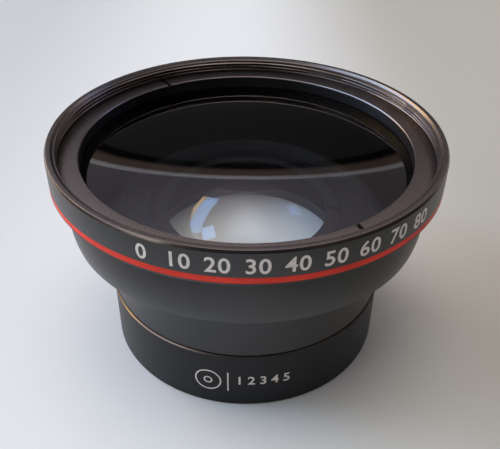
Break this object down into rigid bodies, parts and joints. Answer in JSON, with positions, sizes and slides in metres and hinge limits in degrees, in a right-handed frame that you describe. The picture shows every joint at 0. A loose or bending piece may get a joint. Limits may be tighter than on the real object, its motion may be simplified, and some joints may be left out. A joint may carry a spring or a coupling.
{
  "type": "wide-angle conversion lens",
  "caption": "Wide-angle conversion lens for the front of a camera lens, with a bell-shaped barrel, a red line round the rim, a large domed front glass and a macro lens that screws off its rear.",
  "frame": {"origin": "middle of the flat rear edge that the lens stands on", "axes": "+Z along the optical axis towards the front glass, -Y towards the side that the picture shows"},
  "size_m": [0.0804, 0.0804, 0.0482],
  "materials": {
    "black_anodised_aluminium": "satin black anodised",
    "matt_black_aluminium": "matt black",
    "red_anodised_aluminium": "glossy red",
    "coated_glass": "polished, anti-reflection coated",
    "black_rubber": "matt"
  },
  "bodies": {
    "macro_unit": {"macro_barrel": "black_anodised_aluminium", "macro_element": "coated_glass", "macro_retaining_ring": "matt_black_aluminium"},
    "wide_unit": {"main_barrel": "black_anodised_aluminium", "second_element": "coated_glass", "second_retaining_ring": "matt_black_aluminium", "baffle_ring": "matt_black_aluminium", "front_seal": "black_rubber", "front_element": "coated_glass", "front_retaining_ring": "black_anodised_aluminium", "red_ring": "red_anodised_aluminium", "front_ring": "black_anodised_aluminium"}
  },
  "joints": [
    {"name": "wide_unit_lift", "type": "slide", "parent": "macro_unit", "child": "wide_unit", "axis": [0, 0, 1], "range_m": [0, 0.03]}
  ]
}
